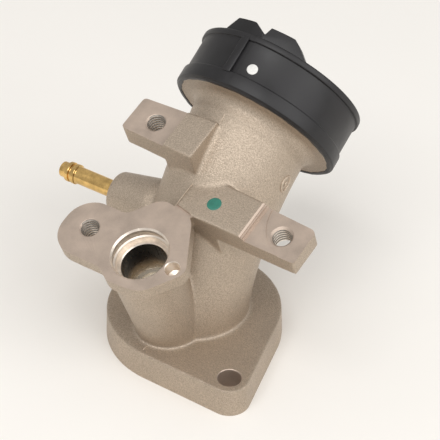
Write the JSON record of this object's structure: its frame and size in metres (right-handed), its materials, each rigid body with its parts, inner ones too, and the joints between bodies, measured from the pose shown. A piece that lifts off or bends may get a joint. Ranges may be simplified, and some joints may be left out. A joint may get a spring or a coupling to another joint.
{
  "type": "intake pipe",
  "caption": "Curved cast intake pipe with a bolted base flange, an injector boss, tapped lugs, a hose nipple and a rubber throttle joint.",
  "frame": {"origin": "centre of the inlet port on the base face", "axes": "+Z out of the cylinder head along the port, +Y towards the throttle joint, +X to the lower lug's side"},
  "size_m": [0.0942, 0.092, 0.09],
  "materials": {
    "cast_aluminium": "as cast, fine grain, with machined faces",
    "black_rubber": "moulded, satin",
    "nipple_brass": "turned",
    "ring_rubber": "smooth"
  },
  "bodies": {
    "root": {"pipe_casting": "cast_aluminium", "throttle_joint": "black_rubber", "vacuum_nipple": "nipple_brass", "base_o_ring": "ring_rubber"}
  },
  "joints": []
}
